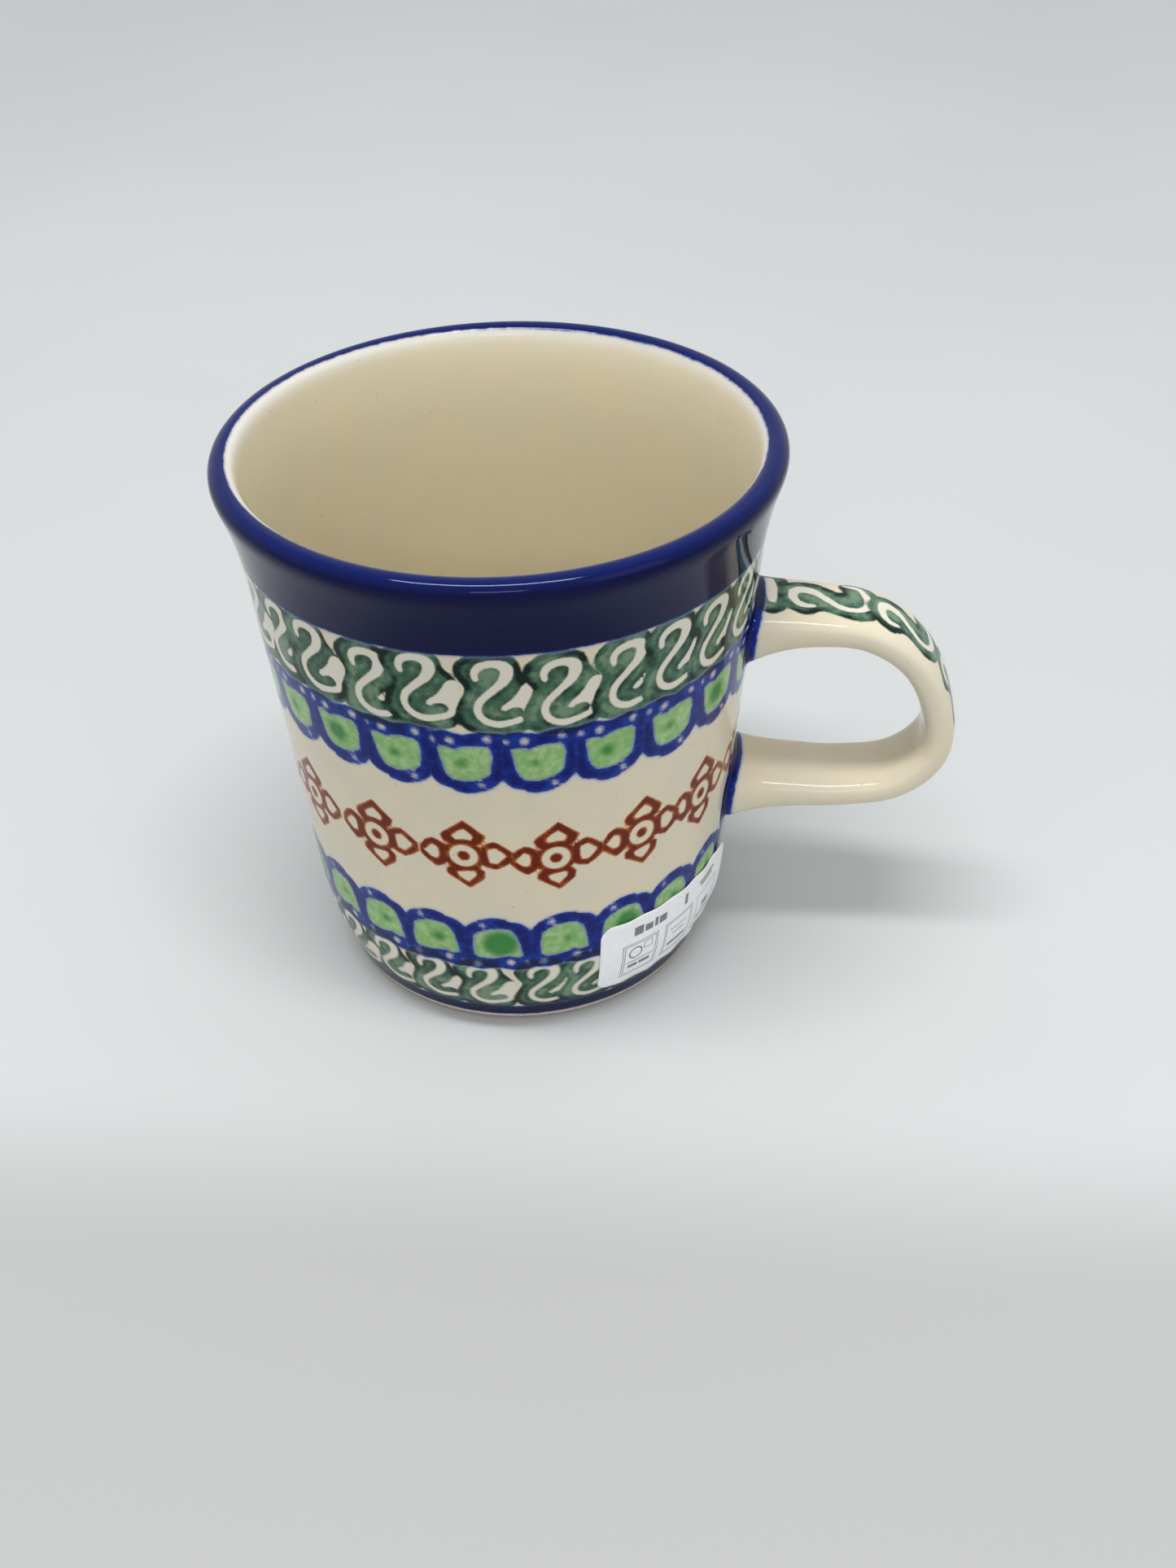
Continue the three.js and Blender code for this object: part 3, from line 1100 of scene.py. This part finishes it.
class GlazedStoneware(Finish):
    """Cream stoneware stamped with underglaze colours under a clear gloss glaze.

    The glaze gives sharp highlights, the sponge stamps give soft, pooled edges, and the clay
    shows through as warm cream with a few iron specks. The foot ring is bare, matt clay.
    Each layer's method lays its colour over the surface so far and returns the result.
    """

    def __init__(self, name, colours):
        super().__init__(name, colours)
        self.fields = {field: self.attribute(field) for field in (*Artwork.FIELDS, "inside")}
        height = self.add("ShaderNodeSeparateXYZ", {0: self.place}).outputs[2]
        self.height = self.times(height, 1 / MM)
        self.fine = self.grain(FINE_GRAIN, seed=1.0)
        self.middling = self.grain(MIDDLING_GRAIN, seed=2.0)
        self.pools = self.grain(POOL_GRAIN, seed=6.0)
        self.ragged = self.scaled(self.fine, RAGGED_EDGE, -RAGGED_EDGE / 2)
        self.wander = self.scaled(self.middling, WANDERING_EDGE, -WANDERING_EDGE / 2)
        self.frayed = self.plus(self.ragged, self.wander)

    def edge(self, distance, soft, shift=0.0, fray=None):
        """Share of a colour from its distance: 1 inside, 0 outside, over a soft edge."""
        distance = self.plus(distance, self.frayed if fray is None else fray)
        return self.ramp(distance, shift - soft, shift + soft, 1.0, 0.0)

    def cream_clay(self):
        """Clear glaze over cream clay: clouded, painted darker inside the cup as shade, with a few
        specks.
        """
        clouds = self.grain(CLOUD_GRAIN, detail=3.0, seed=3.0)
        cream = self.paint("cream", "cream_deep", self.ramp(clouds, 0.3, 0.7))
        # Painted shade: the cream is darkened inside the cup, below the lip, where shade falls.
        painted_inner_shade = self.ramp(self.fields["inside"], 0.2, 2.0, 0.0, 0.55)
        cream = self.paint(cream, "cream_shaded_inside", painted_inner_shade)
        dusting = self.times(self.ramp(self.fine, 0.5, 0.85), 0.10)
        cream = self.paint(cream, "cream_dust", dusting)
        specks = self.add(
            "ShaderNodeTexVoronoi",
            {"Vector": self.place, "Scale": per_mm(SPECK_SPACING), "Randomness": 1.0},
        )
        few = self.add("ShaderNodeSeparateColor", {0: specks.outputs["Color"]}).outputs[0]
        speck = self.times(
            self.ramp(specks.outputs["Distance"], 0.02, 0.13, 1.0, 0.0),
            self.ramp(few, 0.62, 0.95, 0.0, 0.42),
        )
        return self.paint(cream, "iron_speck", speck)

    def scroll_stamps(self, surface):
        """Green scrolls: a sponged wash, pooled dark at the seams and beside the bare line."""
        sponge = self.grain(SPONGE_GRAIN, detail=4.0, seed=5.0, roughness=0.6)
        seam_pool = self.ramp(self.fields["seam"], 0.2, 1.9, 1.0, 0.0)
        line_pool = self.ramp(self.fields["line"], 0.3, 1.6, 0.45, 0.0)
        patches = self.ramp(self.pools, 0.36, 0.62)
        depth = self.times(self.larger(seam_pool, line_pool), self.scaled(patches, 0.62, 0.42))
        depth = self.plus(depth, self.scaled(patches, 0.30, -0.06))
        depth = self.plus(depth, self.scaled(sponge, 0.9, -0.45))
        green = self.paint("scroll_wash", "scroll_mid", self.ramp(depth, 0.0, 0.45))
        green = self.paint(green, "scroll_green", self.ramp(depth, 0.35, 1.0))
        inked = self.edge(self.fields["green"], 0.2)
        softness = self.ramp(self.height, 12.0, 30.0, 0.34, 0.17)
        line = self.compute("DIVIDE", self.plus(self.fields["line"], self.ragged), softness)
        bare = self.ramp(line, -1.0, 1.0, 1.0, 0.0)
        self.green_share = self.times(inked, self.less(1.0, bare))
        surface = self.paint(surface, "scroll_bare", self.times(self.times(bare, inked), 0.7))
        return self.paint(surface, green, self.green_share)

    def cup_fillings(self, surface):
        """Pale mottled green in the cups, with a darker touch and a darker edge."""
        mottle = self.grain(MOTTLE_GRAIN, detail=4.0, seed=8.0, roughness=0.6)
        filling = self.paint("cup_pale", "cup_green", self.ramp(mottle, 0.34, 0.64))
        shaded = self.times(self.ramp(self.pools, 0.4, 0.65), 0.45)
        filling = self.paint(filling, "cup_green", shaded)
        touch = self.ramp(self.plus(self.fields["touch"], self.wander), -1.1, 0.7, 0.9, 0.0)
        filling = self.paint(filling, "cup_touch", touch)
        rimmed = self.ramp(self.fields["filling"], -0.55, 0.05, 0.0, 0.55)
        filling = self.paint(filling, "cup_edge", rimmed)
        return self.paint(surface, filling, self.edge(self.fields["filling"], 0.25, shift=0.1))

    def cobalt_bands(self, surface):
        """Cobalt rim, foot band, cup rings and joint lines, bleeding a little into the glaze."""
        inside = self.fields["inside"]
        rim = self.larger(self.less(RIM_BAND_HEIGHT, self.height), inside)
        low, high = FOOT_BAND
        off_middle = self.compute("ABSOLUTE", self.less(self.height, (low + high) / 2))
        foot = self.larger(self.less(off_middle, (high - low) / 2), inside)
        distance = self.smaller(self.fields["cobalt"], self.smaller(rim, foot))
        bleed = self.times(self.edge(distance, 0.45, shift=0.25, fray=self.wander), 0.5)
        surface = self.paint(surface, "cobalt_bleed", bleed)
        above_foot = self.times(self.ramp(foot, 0.0, 1.7, 0.75, 0.0), self.green_share)
        surface = self.paint(surface, "foot_shade", above_foot)
        streaks = self.grain(STREAK_GRAIN, detail=3.0, seed=9.0, roughness=0.6)
        near_edge = self.ramp(distance, -1.0, 0.05, 0.0, 0.55)
        thin = self.plus(near_edge, self.ramp(streaks, 0.38, 0.72, -0.05, 0.5))
        cobalt = self.paint("cobalt", "cobalt_thin", self.ramp(thin, 0.0, 1.0))
        in_rim = self.ramp(rim, -0.5, 0.2, 1.0, 0.0)
        cobalt = self.paint(cobalt, "cobalt_rim", in_rim)
        on_lip = self.times(self.ramp(self.height, *LIP_COBALT), 0.8)
        cobalt = self.paint(cobalt, "cobalt_lip", on_lip)
        on_green = self.times(self.green_share, self.less(0.85, in_rim))
        cobalt = self.paint(cobalt, "cobalt_on_green", on_green)
        cobalt = self.paint(cobalt, "cobalt_foot", self.ramp(foot, -0.2, 0.3, 0.8, 0.0))
        return self.paint(surface, cobalt, self.edge(distance, 0.2))

    def brown_flowers(self, surface):
        """Iron brown flowers: darkest along the middle of each stroke, orange where it thins."""
        middle = self.ramp(self.fields["brown"], -0.6, 0.1, 0.9, 0.0)
        depth = self.plus(middle, self.scaled(self.middling, 1.3, -0.62))
        brown = self.paint("brown_thin", "brown", self.ramp(depth, 0.0, 0.8))
        return self.paint(surface, brown, self.edge(self.fields["brown"], 0.16, fray=self.ragged))

    def whiter_lip(self, surface):
        """Glaze pooled whiter just inside the lip."""
        past_cobalt = self.ramp(self.fields["inside"], 0.1, 0.6)
        halo = self.times(past_cobalt, self.ramp(self.height, *LIP_HALO))
        return self.paint(surface, "lip_halo", self.times(halo, 0.45))

    def fire(self):
        """Lay every colour in order, wipe the foot ring bare and glaze the rest."""
        surface = self.scroll_stamps(self.cream_clay())
        surface = self.cobalt_bands(self.cup_fillings(surface))
        surface = self.whiter_lip(self.brown_flowers(surface))
        low = GLAZE_LINE_HEIGHT - GLAZE_LINE_FADE
        high = GLAZE_LINE_HEIGHT + GLAZE_LINE_FADE
        bare = self.ramp(self.plus(self.height, self.wander), low, high, 1.0, 0.0)
        clay = self.paint("bare_clay", "clay_grain", self.ramp(self.fine, 0.35, 0.75))
        gloss = self.scaled(self.middling, 0.05, 0.05)
        roughness = self.add(
            "ShaderNodeMix", {"Factor": bare, 2: gloss, 3: BARE_CLAY_ROUGHNESS}, data_type="FLOAT"
        ).outputs[0]
        # The glaze waves slowly and ripples finely like orange peel; the bare clay is pitted.
        waves = self.relief(self.grain(WAVE_GRAIN, detail=1.0, seed=11.0), WAVE_HEIGHT)
        ripples = self.relief(self.grain(RIPPLE_GRAIN, seed=12.0), RIPPLE_HEIGHT, over=waves)
        return self.finish(
            Base_Color=self.paint(surface, clay, bare),
            Roughness=roughness,
            IOR=GLAZE_IOR,
            Specular_IOR_Level=self.colours.glaze_gloss,
            Normal=self.relief(self.times(bare, self.fine), PIT_HEIGHT, over=ripples),
        )


def brushed_cobalt_slip(colours):
    """Slip squeezed out round the strap's ends, brushed with cobalt under the clear glaze."""
    slip = Finish("brushed_cobalt_slip", colours)
    streaks = slip.grain(SLIP_STREAK_GRAIN, detail=3.0, seed=4.0)
    return slip.finish(
        Base_Color=slip.paint("cobalt_rim", "cobalt", slip.ramp(streaks, 0.4, 0.75)),
        Roughness=slip.scaled(streaks, 0.05, 0.06),
        IOR=GLAZE_IOR,
        Specular_IOR_Level=colours.glaze_gloss,
        Normal=slip.relief(streaks, WAVE_HEIGHT),
    )


# Print on the label, upside down as it was stuck: boxes as (across, up, half width, half height).
LABEL_FRAMES = [
    (-7.6, -1.9, 3.4, 3.7),
    (-7.6, -1.9, 3.0, 3.3),
    (0.85, -1.9, 3.4, 3.7),
    (0.85, -1.9, 3.05, 3.35),
    (9.3, -1.9, 3.4, 3.7),
    (-6.2, 0.3, 0.8, 0.7),
]
LABEL_BARS = [
    (-8.3, 4.35, 0.85, 0.95),
    (-6.35, 4.15, 0.75, 0.72),
    (-4.9, 4.35, 0.32, 0.95),
    (-3.5, 4.2, 0.8, 0.8),
    (2.0, 4.45, 0.38, 1.15),
    (8.4, 4.9, 2.6, 0.26),
    (8.4, 4.1, 2.0, 0.26),
    (-7.6, -2.45, 2.6, 0.09),
    (-8.9, -3.5, 0.9, 0.38),
    (-6.6, -3.5, 1.1, 0.38),
    (0.85, -3.6, 2.3, 0.36),
    (0.85, -1.4, 1.5, 0.10),
    (0.6, -0.2, 1.9, 0.10),
    (9.3, -3.7, 2.5, 0.34),
    (9.3, -1.6, 1.2, 0.6),
]
LABEL_RING = (-8.6, -0.5, 1.15)
LABEL_LINE = 0.13


def label_paper(colours):
    """Smooth white coated paper with plain grey marks: frames, bars and a ring."""
    paper = Finish("coated_label_paper", colours)
    across = paper.times(paper.attribute("label_across"), LABEL_ACROSS_SCALE)
    up = paper.attribute("label_up")
    spot = paper.add("ShaderNodeCombineXYZ", {0: across, 1: up}).outputs[0]
    fibre = paper.grain(FIBRE_GRAIN, detail=4.0, seed=1.0)

    def vectors(operation, first, second=(0, 0, 0)):
        """One sum of vectors."""
        return paper.add("ShaderNodeVectorMath", {0: first, 1: second}, operation=operation)

    def box_distance(middle_across, middle_up, half_width, half_height):
        """Distance to a printed box."""
        offset = vectors("SUBTRACT", spot, (middle_across, middle_up, 0)).outputs[0]
        folded = vectors("ABSOLUTE", offset).outputs[0]
        inset = vectors("SUBTRACT", folded, (half_width, half_height, 0)).outputs[0]
        sides = paper.add("ShaderNodeSeparateXYZ", {0: inset})
        return paper.larger(sides.outputs[0], sides.outputs[1])

    marks = FAR
    for frame_box in LABEL_FRAMES:
        side = paper.compute("ABSOLUTE", box_distance(*frame_box))
        marks = paper.smaller(marks, paper.less(side, LABEL_LINE / 2))
    for bar in LABEL_BARS:
        marks = paper.smaller(marks, box_distance(*bar))
    ring_across, ring_up, ring_radius = LABEL_RING
    reach = vectors("DISTANCE", spot, (ring_across, ring_up, 0)).outputs["Value"]
    ring = paper.compute("ABSOLUTE", paper.less(reach, ring_radius))
    marks = paper.smaller(marks, paper.less(ring, LABEL_LINE))
    inked = paper.ramp(marks, -0.04, 0.06, 0.85, 0.0)
    inked = paper.times(inked, paper.ramp(fibre, 0.2, 0.5, 0.75, 1.0))
    sheet = paper.paint("paper", "paper_fibre", paper.ramp(fibre, 0.4, 0.7))
    return paper.finish(
        Base_Color=paper.paint(sheet, "print_grey", inked),
        Roughness=paper.ramp(fibre, 0.2, 0.8, 0.34, 0.46),
        Normal=paper.relief(fibre, FIBRE_HEIGHT, strength=0.6),
    )


def pale_board(colours):
    """Satin pale board under the mug: near white, faintly clouded, painted darker at the front as
    shade.
    """
    board = Finish("pale_satin_board", colours)
    cloud = board.grain(BOARD_CLOUD, detail=3.0, seed=1.0)
    tint = board.paint("board", "board_cloud", board.ramp(cloud, 0.3, 0.7))
    depth = board.add("ShaderNodeSeparateXYZ", {0: board.place}).outputs[1]
    # Painted shade: the board darkens toward the front, where less light falls.
    front = board.ramp(depth, *BOARD_FRONT_SHADE_FADE, 1.0, 0.0)
    return board.finish(
        Base_Color=board.paint(tint, "board_front_shade", front),
        Roughness=BOARD_ROUGHNESS,
        Specular_IOR_Level=BOARD_SPECULAR,
    )


# ---- settings a user would change ----


class MugSizes(PropertyGroup):
    """Sizes of the stage, and where the camera stands."""

    camera_distance: FloatProperty(
        name="Camera distance",
        description="How far in front of the mug's axis the camera stands",
        default=0.2405,
        unit="LENGTH",
    )
    camera_offset: FloatProperty(
        name="Camera offset",
        description="How far the camera stands to the handle's side of the axis",
        default=0.0350,
        unit="LENGTH",
    )
    camera_height: FloatProperty(
        name="Camera height",
        description="Height of the camera above the table",
        default=0.2094,
        unit="LENGTH",
    )
    board_size: FloatProperty(
        name="Board size",
        description="Width of the pale board that the mug stands on",
        default=4.0,
        unit="LENGTH",
    )


def colour_property(title, description, hex_colour):
    """A colour setting whose default is an sRGB hex value."""
    return FloatVectorProperty(
        name=title,
        description=description,
        subtype="COLOR",
        size=3,
        min=0.0,
        max=1.0,
        default=linear(hex_colour),
    )


class MugColours(PropertyGroup):
    """Colours of the clay, the underglazes and the label."""

    cream: colour_property("Cream", "Clear glaze over the clay", "#d6cfba")
    cream_deep: colour_property("Deep cream", "Clear glaze where it lies thick", "#ddd2b8")
    # Painted shade: darker cream laid inside the cup where shade falls.
    cream_shaded_inside: colour_property("Inner cream", "Glaze pooled thicker inside the cup", "#c3b897")
    cream_dust: colour_property("Cream dust", "Fine dull grain in the cream", "#b3a88c")
    iron_speck: colour_property("Iron speck", "Specks of iron in the clay", "#7d6f56")
    scroll_green: colour_property("Scroll green", "Pooled green of the scrolls", "#04211a")
    scroll_mid: colour_property("Middle green", "Scroll green between wash and pool", "#3f6450")
    scroll_wash: colour_property("Scroll wash", "Thin sponged green of the scrolls", "#708a70")
    scroll_bare: colour_property("Bare scroll line", "Glaze left bare in a scroll", "#dedbd0")
    cup_pale: colour_property("Pale cup green", "Lightest green in the cups", "#a8c48e")
    cup_green: colour_property("Cup green", "Mottled green in the cups", "#7fae68")
    cup_touch: colour_property("Cup touch", "Darker touch in the cups", "#237a35")
    cup_edge: colour_property("Cup edge", "Green beside the cobalt in the cups", "#4c7a4a")
    cobalt: colour_property("Cobalt", "Cobalt of the cups and joints", "#000f63")
    cobalt_thin: colour_property("Thin cobalt", "Cobalt where it lies thin", "#0d3798")
    cobalt_rim: colour_property("Rim cobalt", "Thick cobalt of the rim band", "#00063a")
    cobalt_lip: colour_property("Lip cobalt", "Cobalt worn thinner over the lip", "#03185a")
    cobalt_bleed: colour_property("Cobalt bleed", "Cobalt run into the glaze", "#8f9cc4")
    cobalt_on_green: colour_property("Cobalt on green", "Cobalt over a scroll", "#07152a")
    cobalt_foot: colour_property("Foot cobalt", "Cobalt of the foot band", "#050b2c")
    foot_shade: colour_property("Foot shade", "Scrolls dimmed above the foot band", "#10263c")
    lip_halo: colour_property("Lip halo", "Glaze pooled whiter inside the lip", "#d9dde4")
    brown: colour_property("Iron brown", "Dark iron brown of the flowers", "#681c00")
    brown_thin: colour_property("Thin brown", "Iron brown where it lies thin", "#b05c1e")
    bare_clay: colour_property("Bare clay", "Unglazed foot ring", "#c9bdae")
    clay_grain: colour_property("Clay grain", "Darker grain of the bare clay", "#a89c8c")
    paper: colour_property("Paper", "White of the label", "#f7f8fa")
    paper_fibre: colour_property("Paper fibre", "Shade of the label's fibres", "#eef0f3")
    print_grey: colour_property("Print grey", "Grey of the label's marks", "#3d4247")
    board: colour_property("Board", "Pale board under the mug", "#c8cbcb")
    board_cloud: colour_property("Board clouds", "Faint clouds on the board", "#c4c7c7")
    # Painted shade: the board's front part is painted darker.
    board_front_shade: colour_property("Board front", "The board's duller front part", "#b1b2b1")
    glaze_gloss: FloatProperty(
        name="Glaze gloss",
        description="Strength of the glaze's reflections",
        default=0.17,
        subtype="FACTOR",
        min=0.0,
        max=1.0,
    )


# ---- operators ----


class MUG_OT_throw_body(Operator):
    """Throw the body, set its stamps and glaze it"""

    bl_idname = "mug.throw_body"
    bl_label = "Throw body"

    def execute(self, context):
        piece = turn_outline("glazed_body", body_outline())
        apply_modifier(piece, "SUBSURF", levels=1, render_levels=1)
        refine_stamped_wall(piece)
        settle(piece, "mug_body")
        decorate_body(piece)
        colours = context.scene.mug_colours
        piece.data.materials.append(GlazedStoneware("glazed_stamped_stoneware", colours).fire())
        return {"FINISHED"}


class MUG_OT_pull_handle(Operator):
    """Pull the strap handle, bend it and glaze it"""

    bl_idname = "mug.pull_handle"
    bl_label = "Pull handle"

    def execute(self, context):
        piece = model_strap()
        swell_ends(piece)
        settle(piece, "handle")
        decorate_handle(piece)
        colours = context.scene.mug_colours
        piece.data.materials.append(GlazedStoneware("glazed_strap_stoneware", colours).fire())
        return {"FINISHED"}


class MUG_OT_lute_joints(Operator):
    """Run a bead of brushed slip round both ends of the handle"""

    bl_idname = "mug.lute_joints"
    bl_label = "Lute joints"

    def execute(self, context):
        material = brushed_cobalt_slip(context.scene.mug_colours)
        for name, node, joint in (
            ("upper_slip_fillet", "upper_slip_joint", UPPER_JOINT_HEIGHT),
            ("lower_slip_fillet", "lower_slip_joint", LOWER_JOINT_HEIGHT),
        ):
            piece = model_fillet(name, joint)
            settle(piece, node)
            piece.data.materials.append(material)
        return {"FINISHED"}


class MUG_OT_stick_label(Operator):
    """Stick the paper care label low on the wall"""

    bl_idname = "mug.stick_label"
    bl_label = "Stick label"

    def execute(self, context):
        piece = model_label()
        settle(piece, "care_label")
        piece.data.materials.append(label_paper(context.scene.mug_colours))
        return {"FINISHED"}


CAMERA_YAW = math.radians(-5.602)
CAMERA_PITCH = math.radians(37.31)
CAMERA_ROLL = math.radians(-1.685)
CAMERA_LENS = 42.67

CAMERA_SENSOR = 36
CAMERA_CLIP = (0.005, 20)

WORLD_COLOUR = (0.97, 0.985, 1.0, 1.0)
WORLD_STRENGTH = 0.66

# Soft lights: name, place, aim, size (width, depth), power in watts.
LIGHTS = [
    ("overhead_strip", (-0.05, -0.16, 0.94), (-0.03, 0, 0), (0.66, 0.11), 6.0),
    ("back_softbox", (0.1, 0.7, 1.1), (0, 0.1, 0), (1.5, 1.1), 0.9),
    ("right_softbox", (1.1, -0.75, 0.9), (0, 0, 0.04), (0.8, 0.8), 1.2),
    ("front_lamp", (0.05, -0.80, 0.52), (0, 0, 0.08), (0.30, 0.06), 0.7),
]


class MUG_OT_set_stage(Operator):
    """Lay the pale board, hang the soft lights and place the camera"""

    bl_idname = "mug.set_stage"
    bl_label = "Set stage"

    def execute(self, context):
        scene = context.scene
        sizes = scene.mug_sizes
        bpy.ops.object.select_all(action="DESELECT")
        bpy.ops.mesh.primitive_plane_add(size=sizes.board_size, location=(0, 0, 0))
        board = context.object
        board.name = "pale_board"
        board.data.materials.append(pale_board(scene.mug_colours))
        for name, place, aim, (width, depth), power in LIGHTS:
            bpy.ops.object.light_add(type="AREA", location=place)
            lamp = context.object
            lamp.name = name
            lamp.data.shape = "RECTANGLE"
            lamp.data.size = width
            lamp.data.size_y = depth
            lamp.data.energy = power
            direction = Vector(aim) - Vector(place)
            lamp.rotation_euler = direction.to_track_quat("-Z", "Y").to_euler()
        world = bpy.data.worlds.new("soft_studio")
        scene.world = world
        world.use_nodes = True
        sky = world.node_tree.nodes["Background"]
        sky.inputs["Color"].default_value = WORLD_COLOUR
        sky.inputs["Strength"].default_value = WORLD_STRENGTH
        scene.view_settings.view_transform = "Standard"
        self.place_camera(context)
        return {"FINISHED"}

    def place_camera(self, context):
        """Stand the camera above the mug's front, looking down at it."""
        sizes = context.scene.mug_sizes
        forward = Vector(
            (
                math.sin(CAMERA_YAW) * math.cos(CAMERA_PITCH),
                math.cos(CAMERA_YAW) * math.cos(CAMERA_PITCH),
                -math.sin(CAMERA_PITCH),
            )
        )
        level = Vector((math.cos(CAMERA_YAW), -math.sin(CAMERA_YAW), 0))
        above = level.cross(forward)
        right = level * math.cos(CAMERA_ROLL) + above * math.sin(CAMERA_ROLL)
        upward = above * math.cos(CAMERA_ROLL) - level * math.sin(CAMERA_ROLL)
        bpy.ops.object.camera_add()
        camera = context.object
        camera.name = "camera"
        turn = Matrix((right, upward, -forward)).transposed().to_4x4()
        place = (AXIS_X + sizes.camera_offset, -sizes.camera_distance, sizes.camera_height)
        camera.matrix_world = Matrix.Translation(place) @ turn
        camera.data.sensor_width = CAMERA_SENSOR
        camera.data.lens = CAMERA_LENS
        camera.data.clip_start, camera.data.clip_end = CAMERA_CLIP
        context.scene.camera = camera


class MUG_PT_workshop(Panel):
    """Everything that makes the mug, in order"""

    bl_idname = "MUG_PT_workshop"
    bl_label = "Stamped Mug"
    bl_space_type = "VIEW_3D"
    bl_region_type = "UI"
    bl_category = "Mug"

    def draw(self, context):
        layout = self.layout
        for settings in (context.scene.mug_sizes, context.scene.mug_colours):
            for name in settings.__annotations__:
                layout.prop(settings, name)
        for operator in OPERATORS:
            layout.operator(operator.bl_idname)


OPERATORS = (
    MUG_OT_throw_body,
    MUG_OT_pull_handle,
    MUG_OT_lute_joints,
    MUG_OT_stick_label,
    MUG_OT_set_stage,
)
CLASSES = (MugSizes, MugColours, *OPERATORS, MUG_PT_workshop)


def register():
    for cls in CLASSES:
        bpy.utils.register_class(cls)
    bpy.types.Scene.mug_sizes = PointerProperty(type=MugSizes)
    bpy.types.Scene.mug_colours = PointerProperty(type=MugColours)


def unregister():
    del bpy.types.Scene.mug_colours
    del bpy.types.Scene.mug_sizes
    for cls in reversed(CLASSES):
        bpy.utils.unregister_class(cls)


def main():
    register()
    bpy.ops.mug.throw_body()
    bpy.ops.mug.pull_handle()
    bpy.ops.mug.lute_joints()
    bpy.ops.mug.stick_label()
    bpy.ops.mug.set_stage()


if __name__ == "__main__":
    main()
